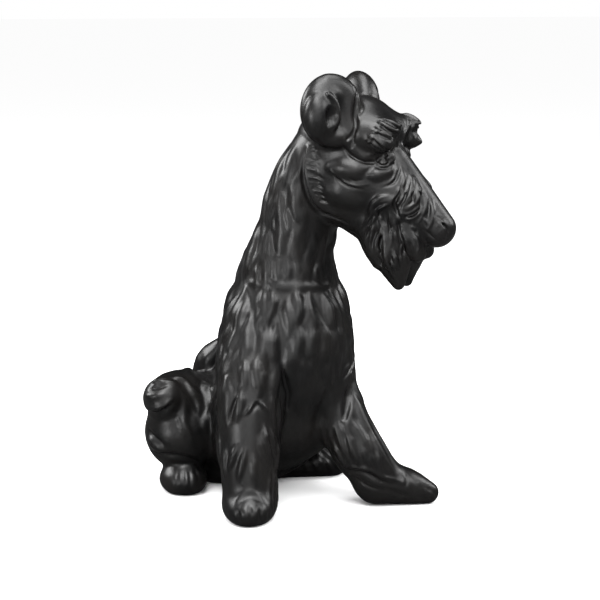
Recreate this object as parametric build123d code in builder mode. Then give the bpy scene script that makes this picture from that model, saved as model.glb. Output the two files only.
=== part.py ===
from build123d import *
import os
from math import cos, radians, sin, sqrt

# A sitting wire-haired terrier figurine in black-glazed earthenware, hollow and slip cast.
# The body, head, legs and trimmings are cast or pressed one by one, and luted together with
# slip before the firing, so each is a closed solid that meets its neighbour face to face.
# Millimetres. +Z is up, -Y is the way the dog's chest faces, +X is its left-hand side. The
# origin is on the table, under the middle of the figurine.

# driving dimensions
WALL = 5.0              # thickness of the cast shell
VENT_RADIUS = 4.0       # air hole under the rump
DUCT_RADIUS = 3.0       # air ducts between the hollow castings
MIDDLE = 15.4           # how far the middle of the figurine lies behind the line of the elbows
DOME = 0.97             # a domed end stops just short of its pole
RING_SPACING = 6.0      # distance between the sections of a limb
EGG_ANGLES = (-80, -60, -40, -20, 0, 20, 40, 60, 80)
HEAD_TURN = 36.0        # the head is turned towards the dog's left
MUZZLE_DIP = 38.0       # and its long axis dips below level
HEAD_CENTRE = (24, -18, 228)


def at(x, y, z):
    """A place given from the line of the elbows, moved to the figurine's own origin."""
    return Vector(x, y - MIDDLE, z)


def blend(values, share):
    """The value at a share of the way along a list of evenly spaced values."""
    place = share * (len(values) - 1)
    low = min(int(place), len(values) - 2)
    return values[low] + (values[low + 1] - values[low]) * (place - low)


def limb(points, radii, across=(1, 0, 0), flat=1.0, shrink=0.0):
    """A limb with round sections along a smooth spine, domed at both ends."""
    spine = Spline(*[at(*point) for point in points])
    radii = [radius - shrink for radius in radii]
    start, end = -DOME * radii[0], spine.length + DOME * radii[-1]
    count = max(8, round((end - start) / RING_SPACING))
    with BuildPart() as body:
        for step in range(count + 1):
            place = start + (end - start) * step / count
            share = min(max(place / spine.length, 0.0), 1.0)
            beyond = place - share * spine.length
            radius = sqrt(blend(radii, share) ** 2 - beyond**2)
            along = spine % share
            with BuildSketch(Plane((spine @ share) + along * beyond, x_dir=across, z_dir=along)):
                Ellipse(radius * flat, radius)
        loft()
    return body.part


def egg(plane, length, width, height):
    """An ellipsoid with its three half sizes along the plane's own axes, and small flat poles."""
    with BuildPart() as body:
        for angle in EGG_ANGLES:
            with BuildSketch(plane.offset(height * sin(radians(angle)))):
                Ellipse(length * cos(radians(angle)), width * cos(radians(angle)))
        loft()
    return body.part


def upright(x, y, z, turn=0.0):
    """A level plane at a place, turned about the vertical."""
    return Plane(at(x, y, z)).rotated((0, 0, turn))


def stack(plane, rings, shrink=0.0):
    """A body lofted through ellipses: station, centre across, centre up, two half sizes."""
    with BuildPart() as body:
        for station, across, up, half_across, half_up in rings:
            with BuildSketch(plane.offset(station)):
                with Locations((across, up)):
                    Ellipse(half_across - shrink, half_up - shrink)
        loft()
    return body.part


# --- the outer forms and the hollows, from which the castings are cut -------------------

# the body from its flat underside up to the top of the neck: height, centre, half sizes
BODY_RINGS = [
    (0, 2, 73 - MIDDLE, 38, 20),
    (7, 2, 68 - MIDDLE, 44, 30),
    (20, 1, 57 - MIDDLE, 47, 39),
    (40, 0, 44 - MIDDLE, 46, 54),
    (60, 0, 40 - MIDDLE, 44, 56),
    (80, 0, 27 - MIDDLE, 43, 52),
    (104, 0, 16 - MIDDLE, 43, 45),
    (125, 0, 14 - MIDDLE, 40, 40),
    (146, -1, 13 - MIDDLE, 34, 34),
    (164, -2, 10 - MIDDLE, 27, 27),
    (184, 1, 6 - MIDDLE, 25.5, 25.5),
    (206, 3, 4 - MIDDLE, 25, 25),
    (220, 7, -1 - MIDDLE, 25, 25),
    (232, 13, -6 - MIDDLE, 24, 24),
    (243, 18, -11 - MIDDLE, 21, 21),
    (250, 20, -12 - MIDDLE, 15, 15),
]
body_form = stack(Plane.XY, BODY_RINGS)
body_hollow = stack(Plane.XY, [(WALL, *BODY_RINGS[1][1:])] + BODY_RINGS[2:-2], WALL)

# the head from the back of the skull to the nose: station, centre across, up, half sizes
FORWARD = Vector(sin(radians(HEAD_TURN)), -cos(radians(HEAD_TURN)), 0)
LEFT = Vector(cos(radians(HEAD_TURN)), sin(radians(HEAD_TURN)), 0)
UP = Vector(0, 0, 1)
HEAD_AXIS = FORWARD * cos(radians(MUZZLE_DIP)) - UP * sin(radians(MUZZLE_DIP))
HEAD_RINGS = [
    (-37, 0, 4, 8, 8),
    (-34, 0, 4, 16, 17),
    (-27, 0, 5, 22, 26),
    (-12, 0, 5, 27, 32),
    (4, 0, 3.5, 28, 35),
    (20, 0, -1, 26, 32),
    (38, 0, -2, 21, 27),
    (56, 0, 0, 16, 19.5),
    (70, 0, 1.5, 12.5, 13.5),
    (79, 0, 2, 9, 9.5),
    (83, 0, 2, 4, 4),
]
head_plane = Plane(at(*HEAD_CENTRE), x_dir=LEFT, z_dir=HEAD_AXIS)
head_form = stack(head_plane, HEAD_RINGS)
head_hollow = stack(head_plane, HEAD_RINGS[2:8], WALL)


def on_head(forward, left, up):
    """A place on the head, from the middle of the skull, before the shift to the origin."""
    place = Vector(24, -18, 250) + FORWARD * forward + LEFT * left + UP * up
    return (place.X, place.Y, place.Z)


def head_part(forward, left, up, x_dir=None, z_dir=UP):
    """A plane on the head, level unless its own directions are given."""
    return Plane(at(*on_head(forward, left, up)), x_dir=x_dir or FORWARD, z_dir=z_dir)


# --- body and head ----------------------------------------------------------------------

DUCTS = [
    ((-20, 6, 106), (-44, 0, 84)),
    ((14, 6, 104), (22, -8, 76)),
    ((-36, 66, 44), (-60, 72, 44)),
    ((36, 66, 44), (60, 72, 44)),
    ((10, -6, 220), (22, -16, 244)),
]


def duct(start, end):
    """A round hole through the wall between two hollow castings."""
    run = at(*end) - at(*start)
    with BuildPart(Plane(at(*start), z_dir=run)) as hole:
        Cylinder(DUCT_RADIUS, run.length, align=(Align.CENTER, Align.CENTER, Align.MIN))
    return hole.part


def eye(side):
    """One eye, a low bead under the brow."""
    return egg(head_part(30, side * 16, -19), 7, 6, 6.5)


with BuildPart() as torso:
    add(body_form)
    add(body_hollow, mode=Mode.SUBTRACT)
    add(head_form, mode=Mode.SUBTRACT)
    for start, end in DUCTS:
        add(duct(start, end), mode=Mode.SUBTRACT)
    with Locations((2, 73 - MIDDLE, 0)):
        Cylinder(VENT_RADIUS, 4 * WALL, mode=Mode.SUBTRACT)
torso.part.label = "torso"

with BuildPart() as head:
    add(head_form)
    # the eyes stand out as low beads, and the nose is a rounded pad
    for side in (-1, 1):
        add(eye(side))
    add(egg(head_part(64, 0, -64), 8, 9, 8))
    add(head_hollow, mode=Mode.SUBTRACT)
    add(duct(*DUCTS[-1]), mode=Mode.SUBTRACT)
head.part.label = "head"

# --- trimmings of the head --------------------------------------------------------------


def lock(points, radii, flat=1.0):
    """One tapering lock of clay hair, from places on the head."""
    return limb([on_head(*point) for point in points], radii, across=LEFT, flat=flat)


# the middle of the beard, its back and front tufts, and a lock down each side
BEARD_LOCKS = [
    ([(32, 0, -52), (38, 0, -76), (40, -1, -98)], [16, 12, 3.5], 1.3),
    ([(20, -3, -54), (25, -6, -70), (28, -7, -84)], [13, 9, 3], 1.0),
    ([(45, 2, -58), (47, 4, -77), (44, 5, -91)], [12, 8, 3], 1.0),
    ([(34, 10, -60), (38, 13, -78), (39, 12, -92)], [11, 8, 3], 1.0),
    ([(33, -11, -58), (39, -14, -74), (42, -13, -88)], [11, 8, 3], 1.0),
]

with BuildPart() as beard:
    for points, radii, flat in BEARD_LOCKS:
        add(lock(points, radii, flat))
    add(head_form, mode=Mode.SUBTRACT)
beard.part.label = "beard"


def brow(side):
    """A bushy eyebrow ending in two pointed tufts."""
    upper = [(16, side * 12, -4), (30, side * 16, 0), (43, side * 20, 1)]
    lower = [(20, side * 16, -12), (32, side * 21, -8), (43, side * 23, -11)]
    with BuildPart() as tufts:
        add(lock(upper, [9, 6.5, 2]))
        add(lock(lower, [7, 6, 2]))
        add(head_form, mode=Mode.SUBTRACT)
        add(eye(side), mode=Mode.SUBTRACT)
    return tufts.part


def ear(side):
    """An upright cupped ear whose outer half is rolled inwards like a scroll."""
    edge = (FORWARD * -0.73 + LEFT * side * 0.68).normalized()
    mouth = (FORWARD * 0.68 + LEFT * side * 0.73).normalized()
    middle = Vector(*on_head(1.5, side * 27, 12))

    def spot(along, out, up):
        place = middle + edge * along + mouth * out + UP * up
        return Plane(at(place.X, place.Y, place.Z), x_dir=edge, z_dir=UP)

    with BuildPart() as cup:
        add(egg(spot(0, -3, 0), 20, 11, 24))
        add(egg(spot(-3, 9, 1), 13, 13, 19), mode=Mode.SUBTRACT)
        add(egg(spot(9, 3, 0), 10, 8, 15))
        add(egg(spot(5, 9, -1), 3.6, 8, 8), mode=Mode.SUBTRACT)
        add(head_form, mode=Mode.SUBTRACT)
        add(body_form, mode=Mode.SUBTRACT)
    return cup.part


# --- legs and tail ----------------------------------------------------------------------

RIGHT_ARM = [(-26, 10, 120), (-36, 2, 92), (-43, -6, 62), (-47, -12, 34), (-49, -16, 14)]
RIGHT_ARM_RADII = [21, 22, 20.5, 18.5, 17]
LEFT_ARM = [(17, 4, 118), (19, -4, 92), (21, -11, 72), (24.5, -20, 50), (28, -25, 37), (34, -29, 23)]
LEFT_ARM_RADII = [15, 14.5, 16, 17, 16.5, 14.5]

with BuildPart() as right_foreleg:
    add(limb(RIGHT_ARM, RIGHT_ARM_RADII))
    add(egg(upright(-51, -20, 9, -32), 17, 22, 12))
    add(limb(RIGHT_ARM[:4], RIGHT_ARM_RADII[:4], shrink=WALL), mode=Mode.SUBTRACT)
    add(body_form, mode=Mode.SUBTRACT)
    split(bisect_by=Plane.XY, keep=Keep.TOP)
right_foreleg.part.label = "right_foreleg"

with BuildPart() as left_foreleg:
    add(limb(LEFT_ARM, LEFT_ARM_RADII))
    add(limb([(34, -30, 14), (55, -40, 9.5), (70, -50, 6.5)], [13.2, 11, 7.5]))
    add(limb(LEFT_ARM[:5], LEFT_ARM_RADII[:5], shrink=WALL), mode=Mode.SUBTRACT)
    add(body_form, mode=Mode.SUBTRACT)
    split(bisect_by=Plane.XY, keep=Keep.TOP)
left_foreleg.part.label = "left_foreleg"


tail_form = limb([(-10, 86, 44), (-15, 97, 62), (-16, 94, 80), (-11, 85, 92)], [12, 12, 11, 7])


def hind_leg(side):
    """A folded hind leg: thigh and knee, the heavy haunch, and the foot under it."""
    with BuildPart() as leg:
        add(limb([(side * 28, 80, 46), (side * 50, 76, 60), (side * 65, 68, 66)], [26, 22, 13.5], (0, 1, 0)))
        add(egg(upright(side * 53, 72, 40), 26, 26, 27))
        add(egg(upright(side * 56, 62, 9), 16, 18, 12))
        add(egg(upright(side * 53, 72, 40), 26 - WALL, 26 - WALL, 27 - WALL), mode=Mode.SUBTRACT)
        add(body_form, mode=Mode.SUBTRACT)
        add(tail_form, mode=Mode.SUBTRACT)
        split(bisect_by=Plane.XY, keep=Keep.TOP)
    return leg.part


with BuildPart() as tail:
    add(tail_form)
    add(body_form, mode=Mode.SUBTRACT)
tail.part.label = "tail"

# --- write the pieces -------------------------------------------------------------------

pieces = [torso.part, head.part, beard.part, right_foreleg.part, left_foreleg.part, tail.part]
for side, name in ((-1, "right"), (1, "left")):
    for make, kind in ((ear, "ear"), (brow, "brow"), (hind_leg, "hind_leg")):
        piece = make(side)
        piece.label = f"{name}_{kind}"
        pieces.append(piece)

os.makedirs("parts", exist_ok=True)
for piece in pieces:
    export_step(piece, f"parts/{piece.label}.step")
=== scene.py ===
import math
from collections import namedtuple

import bpy
import numpy as np
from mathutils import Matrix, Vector


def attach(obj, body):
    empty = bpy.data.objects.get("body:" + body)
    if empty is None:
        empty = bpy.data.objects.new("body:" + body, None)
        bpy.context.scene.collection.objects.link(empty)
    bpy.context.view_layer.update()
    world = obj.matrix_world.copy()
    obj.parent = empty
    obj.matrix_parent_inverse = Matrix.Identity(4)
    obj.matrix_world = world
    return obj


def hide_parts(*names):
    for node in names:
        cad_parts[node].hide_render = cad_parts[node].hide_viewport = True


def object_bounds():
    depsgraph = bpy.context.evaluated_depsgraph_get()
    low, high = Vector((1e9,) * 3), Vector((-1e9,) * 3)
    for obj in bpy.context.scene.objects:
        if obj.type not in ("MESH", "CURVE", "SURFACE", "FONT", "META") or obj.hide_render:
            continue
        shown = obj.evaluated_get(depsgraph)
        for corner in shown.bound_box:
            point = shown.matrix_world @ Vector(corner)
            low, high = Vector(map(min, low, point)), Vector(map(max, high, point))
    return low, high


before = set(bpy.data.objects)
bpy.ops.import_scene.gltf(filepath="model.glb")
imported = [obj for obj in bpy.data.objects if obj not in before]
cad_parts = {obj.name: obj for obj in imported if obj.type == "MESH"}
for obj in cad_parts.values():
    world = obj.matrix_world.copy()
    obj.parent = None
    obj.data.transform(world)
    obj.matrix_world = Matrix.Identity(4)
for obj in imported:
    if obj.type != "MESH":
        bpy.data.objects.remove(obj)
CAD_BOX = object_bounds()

# ---------------- clay
FAR = 30.0  # what an empty place reads, past the reach of any blend
TINY = 1e-9  # keeps divisions off zero
LAST_CELL = 1.001  # keeps a sample inside the grid's last cell
CORNERS = ((0, 0, 0), (1, 0, 0), (0, 1, 0), (1, 1, 0), (0, 0, 1), (1, 0, 1), (0, 1, 1), (1, 1, 1))
THINNEST = 0.05  # least radius of a limb
ADD_REACH, CUT_REACH = 4, 3  # how far past its blend a shape is worked out


def vec(*p):
    return np.array(p, float)


def unit(v):
    v = np.asarray(v, float)
    return v/np.linalg.norm(v)


def smooth_min(a, b, k):
    """The smaller of two distances, rounded where they are within k of each other."""
    if k <= 0:
        return np.minimum(a, b)
    h = np.maximum(k - np.abs(a - b), 0.0)/k
    return np.minimum(a, b) - h*h*k*0.25


# A solid as a distance function, negative inside, and the corners of the box that holds it.
Shape = namedtuple("Shape", "low high distance")


def ball(centre, radius):
    c = np.asarray(centre, float)

    def distance(x, y, z):
        return np.sqrt((x - c[0])**2 + (y - c[1])**2 + (z - c[2])**2) - radius

    return Shape(c - radius, c + radius, distance)


def ellipsoid(centre, radii, axes=None):
    """The rows of axes are the directions of the three radii."""
    c, r = np.asarray(centre, float), np.asarray(radii, float)
    m = np.eye(3) if axes is None else np.array([unit(a) for a in axes])
    reach = np.sqrt((m.T**2)@(r**2))

    def distance(x, y, z):
        x, y, z = x - c[0], y - c[1], z - c[2]
        q = [m[i, 0]*x + m[i, 1]*y + m[i, 2]*z for i in range(3)]
        k0 = np.sqrt(sum((q[i]/r[i])**2 for i in range(3)))
        k1 = np.sqrt(sum((q[i]/r[i]**2)**2 for i in range(3)))
        return np.where(k1 > TINY, k0*(k0 - 1)/np.maximum(k1, TINY), -r.min())

    return Shape(c - reach, c + reach, distance)


def cone(a, b, ra, rb, flat=None, ratio=1.0):
    """A cone with ball ends, squeezed by ratio along the direction flat."""
    a, b = np.asarray(a, float), np.asarray(b, float)
    low, high = np.minimum(a - ra, b - rb), np.maximum(a + ra, b + rb)
    n = None if flat is None else unit(flat)
    stretch = 1.0/ratio - 1.0

    def warp(p):
        return p if n is None else p + n*(p@n)*stretch

    a, b = warp(a), warp(b)
    along = b - a
    length2 = float(along@along)
    taper = ra - rb
    slant2 = length2 - taper*taper
    inverse = 1.0/max(length2, TINY)

    def distance(x, y, z):
        if n is not None:
            t = (x*n[0] + y*n[1] + z*n[2])*stretch
            x, y, z = x + n[0]*t, y + n[1]*t, z + n[2]*t
        if slant2 <= 0:  # one end ball holds the other
            c, radius = (a, ra) if ra > rb else (b, rb)
            out = np.sqrt((x - c[0])**2 + (y - c[1])**2 + (z - c[2])**2) - radius
        else:
            px, py, pz = x - a[0], y - a[1], z - a[2]
            from_a = px*along[0] + py*along[1] + pz*along[2]
            from_b = from_a - length2
            p2 = px*px + py*py + pz*pz
            side2 = np.maximum(p2*length2*length2 - 2*from_a*from_a*length2
                               + from_a*from_a*length2, 0)
            a2, b2 = from_a*from_a*length2, from_b*from_b*length2
            k = np.sign(taper)*taper*taper*side2
            past_b = np.sign(from_b)*slant2*b2 > k
            before_a = np.sign(from_a)*slant2*a2 < k
            out = (np.sqrt(side2*slant2*inverse) + from_a*taper)*inverse - ra
            out = np.where(before_a, np.sqrt(side2 + a2)*inverse - ra, out)
            out = np.where(past_b, np.sqrt(side2 + b2)*inverse - rb, out)
        return out*(ratio if n is not None else 1.0)

    return Shape(low, high, distance)


def spline(points, n):
    """A smooth curve through the points, n samples to each stretch (Catmull-Rom)."""
    points = np.asarray(points, float)
    points = np.vstack([2*points[0] - points[1], points, 2*points[-1] - points[-2]])
    out = []
    for i in range(1, len(points) - 2):
        t = np.linspace(0, 1, n, endpoint=False)[:, None]
        a, b, c, d = points[i - 1:i + 3]
        out.append(0.5*((2*b) + (-a + c)*t + (2*a - 5*b + 4*c - d)*t**2
                        + (-a + 3*b - 3*c + d)*t**3))
    out.append(points[-2][None])
    return np.vstack(out)


def tube(rings, n=3, flat=None, ratio=1.0):
    """A limb through rings, each x, y, z and radius."""
    rings = spline(rings, n)
    cones = [cone(a[:3], b[:3], max(a[3], THINNEST), max(b[3], THINNEST), flat, ratio)
             for a, b in zip(rings[:-1], rings[1:])]
    low = np.min([s.low for s in cones], 0)
    high = np.max([s.high for s in cones], 0)

    def distance(x, y, z):
        out = cones[0].distance(x, y, z)
        for s in cones[1:]:
            out = np.minimum(out, s.distance(x, y, z))
        return out

    return Shape(low, high, distance)


class Clay:
    """A block of distances on a grid that shapes are added to and cut from."""

    def __init__(self, low, high, step):
        self.low = np.asarray(low, float)
        self.step = step
        n = np.ceil((np.asarray(high, float) - self.low)/step).astype(int) + 1
        self.axes = [self.low[i] + step*np.arange(n[i]) for i in range(3)]
        self.d = np.full(n, FAR, np.float32)

    def window(self, shape, margin):
        """The part of the grid near a shape: its slices and its coordinates."""
        slices = []
        for i in range(3):
            a = int(np.floor((shape.low[i] - margin - self.low[i])/self.step))
            b = int(np.ceil((shape.high[i] + margin - self.low[i])/self.step)) + 1
            a, b = max(a, 0), min(b, self.d.shape[i])
            if b <= a:
                return None, None
            slices.append(slice(a, b))
        return tuple(slices), np.ix_(*[a[s] for a, s in zip(self.axes, slices)])

    def add(self, shape, blend):
        s, places = self.window(shape, blend + ADD_REACH)
        if s is not None:
            self.d[s] = smooth_min(self.d[s], shape.distance(*places).astype(np.float32), blend)

    def cut(self, shape, blend):
        s, places = self.window(shape, blend + CUT_REACH)
        if s is not None:
            self.d[s] = -smooth_min(-self.d[s], shape.distance(*places).astype(np.float32), blend)

    def keep_above(self, floor):
        z = self.axes[2][None, None, :].astype(np.float32)
        self.d = np.maximum(self.d, floor - z)

    def sample(self, p):
        """The distance at free points, from the eight grid points round each."""
        q = (np.asarray(p, float) - self.low)/self.step
        q = np.clip(q, 0, np.array(self.d.shape) - LAST_CELL)
        i = q.astype(int)
        f = q - i
        out = 0
        for corner in np.ndindex(2, 2, 2):
            w = np.where(np.array(corner) > 0, f, 1 - f)
            at = i + corner
            out = out + w[:, 0]*w[:, 1]*w[:, 2]*self.d[tuple(at.T)]
        return out

    def slope(self, p):
        """Unit direction straight out of the surface at free points."""
        h = np.eye(3)*self.step
        g = np.stack([self.sample(p + h[i]) - self.sample(p - h[i]) for i in range(3)], 1)
        return g/np.maximum(np.linalg.norm(g, axis=1, keepdims=True), TINY)

    def settle(self, p, rounds=6):
        """Points moved onto the surface."""
        p = np.asarray(p, float).copy()
        for _ in range(rounds):
            p -= self.slope(p)*self.sample(p)[:, None]
        return p


def surface_nets(clay):
    """A closed mesh of the surface: a vertex to each crossed cell, a quad to each crossed edge."""
    d = clay.d
    inside = d < 0
    nx, ny, nz = d.shape
    full = np.zeros((nx - 1, ny - 1, nz - 1), np.uint8)
    for dx, dy, dz in CORNERS:
        full += inside[dx:nx - 1 + dx, dy:ny - 1 + dy, dz:nz - 1 + dz]
    crossed = (full > 0) & (full < 8)
    cells = np.argwhere(crossed)
    number = np.full(crossed.shape, -1, np.int32)
    number[crossed] = np.arange(len(cells))
    total, count = np.zeros((len(cells), 3)), np.zeros(len(cells))
    value = [d[tuple((cells + corner).T)].astype(float) for corner in CORNERS]
    for m in range(8):
        for ax in range(3):
            other = m | (1 << ax)
            if other == m:
                continue
            a, b = value[m], value[other]
            hit = (a < 0) != (b < 0)
            points = cells[hit] + np.array(CORNERS[m], float)
            points[:, ax] += a[hit]/(a[hit] - b[hit])
            total[hit] += points
            count[hit] += 1
    verts = clay.low + total/count[:, None]*clay.step
    quads = []
    for ax in range(3):
        near, beyond = [slice(None)]*3, [slice(None)]*3
        near[ax], beyond[ax] = slice(0, -1), slice(1, None)
        edges = np.argwhere(inside[tuple(near)] != inside[tuple(beyond)])
        u, v = [i for i in range(3) if i != ax]
        whole = ((edges[:, u] > 0) & (edges[:, v] > 0)
                 & (edges[:, u] < d.shape[u] - 1) & (edges[:, v] < d.shape[v] - 1))
        edges = edges[whole]

        def cell(du, dv):
            k = edges.copy()
            k[:, u] -= du
            k[:, v] -= dv
            return number[tuple(k.T)]

        q = np.stack([cell(0, 0), cell(1, 0), cell(1, 1), cell(0, 1)], 1)
        start = inside[tuple(edges.T)]
        flip = start if ax != 1 else ~start
        q[~flip] = q[~flip][:, ::-1]
        quads.append(q)
    return verts, np.vstack(quads)


# ---------------- the bare figurine
# Clay millimetres: z 0 is the table, the dog faces -Y and its left is +X.
LOW, HIGH = (-92, -95, -4), (92, 112, 296)
HEAD_LOW, HEAD_HIGH = (-40, -108, 140), (98, 50, 296)

HEAD = vec(24, -18, 250)  # middle of the skull
F = vec(0.587, -0.809, 0)  # the way the turned head looks
L = vec(0.809, 0.587, 0)  # its left
U = vec(0, 0, 1)


def hp(f, l, u, *radius):
    """A place on the head, forward, left and up from its middle; with a radius, a ring."""
    return np.append(HEAD + F*f + L*l + U*u, radius)


def torso(c):
    """Barrel, neck, chest and rump."""
    c.add(tube([(0, 24, 64, 43), (0, 20, 96, 45), (0, 17, 124, 41), (-1, 14, 146, 33)]), 0)
    c.add(tube([(-1, 15, 146, 29.5), (-2, 12, 164, 26.5), (2, 6.5, 184, 25), (5, 3, 206, 24),
                (12, -5, 228, 23), (19, -11, 243, 22.5)]), 7)
    c.add(ellipsoid((0, -8, 104), (31, 21, 45)), 5)
    c.add(ellipsoid((0, 57, 42), (44, 42, 40)), 14)
    c.add(ellipsoid((0, 68, 52), (34, 30, 38)), 10)
    c.add(ellipsoid((4, 79, 12), (46, 32, 20)), 8)
    c.add(tube([(4, 76, 10, 13), (28, 58, 10, 13), (54, 46, 10, 13)]), 5)


def right_foreleg(c):
    c.add(tube([(-26, 10, 120, 21), (-36, 2, 92, 22), (-43, -6, 62, 20.5), (-47, -12, 34, 18.5),
                (-49, -16, 14, 17)]), 8)
    axes = [(0.85, -0.53, 0), (-0.53, -0.85, 0), (0, 0, 1)]
    c.add(ellipsoid((-51, -20, 9), (17, 22, 12), axes), 6)


def left_foreleg(c):
    c.add(tube([(17, 4, 118, 15), (19, -4, 92, 14.5), (21, -11, 72, 16), (25, -20, 50, 17),
                (30, -26, 36, 17.5), (38, -31, 24, 16)]), 9)
    c.add(tube([(40, -32, 15, 15), (57, -41, 12, 12.5), (70, -50, 7.5, 7.5)]), 6)


def hind(c, s):
    """Folded haunch, knee, shank and hind paw; s is -1 on the right, 1 on the left."""
    c.add(tube([(s*28, 80, 46, 26), (s*50, 76, 60, 22), (s*66, 68, 66, 13.5)]), 8)
    c.add(ellipsoid((s*68, 67, 66), (13, 14, 13)), 5)
    c.add(ellipsoid((s*51, 72, 40), (26, 26, 27)), 5)
    c.add(tube([(s*48, 78, 14, 14), (s*54, 64, 11, 14)], n=2), 3)
    paw = ((-56, 62, 9), (16, 18, 12)) if s < 0 else ((52, 54, 10), (20, 19, 13))
    c.add(ellipsoid(*paw), 3)


def tail(c):
    c.add(tube([(-11, 88, 44, 13), (-15, 97, 62, 12.5), (-16, 94, 80, 11.5), (-11, 85, 92, 8)]), 5)


def head(c):
    ax = [F, L, U]
    c.add(ellipsoid(hp(0, 0, -6), (33, 26, 24), ax), 0)
    c.add(ellipsoid(hp(8, 0, -2), (28, 25, 25.5), ax), 4)
    # cheeks: the deep side of the head down to the jaw line
    for s in (-1, 1):
        c.add(ellipsoid(hp(2, s*10, -24), (27, 17, 32), ax), 6)
    # jaw
    c.add(tube([hp(-7, 0, -38, 22), hp(5, 0, -45.5, 19.5), hp(18, 0, -57, 16),
                hp(28, 0, -68, 13)]), 6)
    # muzzle, a blunt wedge
    c.add(tube([hp(12, 0, -26, 26), hp(31, 0, -40, 22), hp(48, 0, -52, 16),
                hp(62, 0, -62.5, 11)]), 8)
    c.add(tube([hp(34, 0, -19, 9), hp(52, 0, -42, 8), hp(65.5, 0, -60, 8.5)]), 6)
    # the cap of hair over the skull, overhanging the cheek
    for s in (-1, 1):
        c.add(ellipsoid(hp(17, s*10.5, -0.5), (21, 18, 16), ax), 3)
        # eye sockets
        c.cut(tube([hp(30, s*24, -13, 2.4), hp(36, s*20.5, -13.5, 4.2), hp(43, s*15, -13, 3)]), 1.5)
        c.add(ball(hp(35, s*15, -14.2), 3.6), 0.8)


def beard(c):
    for s in (-1, 1):
        c.add(tube([hp(32, s*8.5, -60, 14), hp(36, s*9, -80, 12), hp(39.5, s*8, -97, 4.5)], flat=L,
                   ratio=0.7), 6)
        c.add(tube([hp(22, s*7, -58, 11), hp(24, s*9, -72, 9), hp(26, s*10, -83, 4)]), 5)
    c.add(tube([hp(44, 0, -62, 12), hp(45, 3, -80, 8), hp(42, 6, -91, 3.5)]), 4)
    for s in (-1, 1):
        c.add(tube([hp(45, s*9, -60, 8), hp(50, s*9.5, -70, 7), hp(52.5, s*8.5, -77, 5.5)]), 2.5)


def brow(c, s):
    """Twin tufts; the near one points lower."""
    tip = 4.5 if s > 0 else 6
    c.add(tube([hp(26, s*17, 1, 9), hp(35, s*18, 3, 6.5), hp(42.5, s*18, tip, 2)]), 3)
    if s > 0:
        c.add(tube([hp(30, 18, -4, 8.5), hp(37, 18.5, -6, 6.5), hp(44, 18.5, -7.5, 2)]), 2)
    else:
        c.add(tube([hp(27, -19, -3, 9), hp(33, -20.5, -5, 6.5), hp(36, -21, -6, 3.5)]), 2)


def ear(c, s):
    """A cup whose outer half is rolled in."""
    across = unit(-0.73*F + s*0.68*L)  # from the inner front edge to the outer back edge
    out = unit(0.68*F + s*0.73*L)  # out of the cup
    middle = hp(0.5, s*27, 14)
    ax = [across, out, U]

    def on(a, b, d, *radius):
        return np.append(middle + across*a + out*b + U*d, radius)

    c.add(ellipsoid(on(0.6, -2, 0.2), (19.9, 11, 23.2), ax), 4)
    # the hollow front
    c.cut(ellipsoid(on(-0.5, 14, -2), (9, 8.5, 15), ax), 3)
    # front edge draped over in one broad roll
    r = 1 if s < 0 else 0.72  # the left ear's edge is thinner
    roll = [on(3, 0, 19, 3.5*r), on(-5, 1, 16.5, 5.2*r), on(-10.5, 2, 10, 6.4*r),
            on(-12.2, 2.4, 0, 6.8*r), on(-11.5, 2.2, -9, 6.4*r), on(-9, 1.5, -15, 5*r)]
    c.add(tube(roll, n=4), 2.5)
    # outer edge rolled inwards: a thick lobe with its own small hollow
    c.add(ellipsoid(on(10, 4, -3), (10.5, 8.5, 15.5), ax), 1.2)
    lip = [on(6, 9, 11, 1.6), on(1.5, 8.5, 6, 2.1), on(-0.3, 8.6, -1, 2.3), on(0.6, 8.4, -7, 2.2),
           on(4, 7.4, -12, 1.6)]
    c.add(tube(lip, n=4), 2)
    c.cut(tube([on(4.6, 14, 3, 3.4), on(4.5, 13, -2.5, 4.8), on(5.3, 13, -8, 3)]), 1.2)
    c.add(ellipsoid(on(-1, 4, -17), (12, 5, 6), ax), 3)


MAKERS = {
    "torso": torso, "right_foreleg": right_foreleg, "left_foreleg": left_foreleg,
    "right_hind_leg": lambda c: hind(c, -1), "left_hind_leg": lambda c: hind(c, 1), "tail": tail,
    "head": head, "beard": beard, "right_brow": lambda c: brow(c, -1),
    "left_brow": lambda c: brow(c, 1), "right_ear": lambda c: ear(c, -1),
    "left_ear": lambda c: ear(c, 1)}


def base(step, low=LOW, high=HIGH):
    """The bare figurine on a new grid."""
    c = Clay(low, high, step)
    for make in MAKERS.values():
        make(c)
    c.keep_above(0)
    return c


# ---------------- hair
LEAST_WIDTH, LEAST_HEIGHT = 0.5, 0.15  # of a stroke
FULL_TURN = 6.28
WAVE_STEP = 1.3  # how far a lock's wave turns in each step


def stroke(skin, points, width, height, start, end, side, n):
    """A tube laid along the surface so that it stands height out of it (side 1) or bites height
    into it (side -1), width across; start and end are how much of both is left at its ends."""
    path = skin.settle(spline(points, n))
    swell = np.interp(np.linspace(0, 1, len(path)), [0, 0.3, 0.65, 1], [start, 1, 0.9, end])
    w = np.maximum(width*swell, LEAST_WIDTH)
    h = np.maximum(height*swell, LEAST_HEIGHT)
    r = (w*w/4 + h*h)/(2*h)
    return tube(np.column_stack((path - skin.slope(path)*(r - h)[:, None]*side, r)), n=1)


def tools(c, skin, place=vec):
    """Ridge and groove on the clay c along skin, for points written as place reads them."""

    def ridge(points, width, height, start, end, blend, n=5):
        """A lock of hair."""
        c.add(stroke(skin, [place(*p) for p in points], width, height, start, end, 1, n), blend)

    def groove(points, width, depth, start, end, blend, n=5):
        """A tooled line."""
        c.cut(stroke(skin, [place(*p) for p in points], width, depth, start, end, -1, n), blend)

    return ridge, groove


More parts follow.
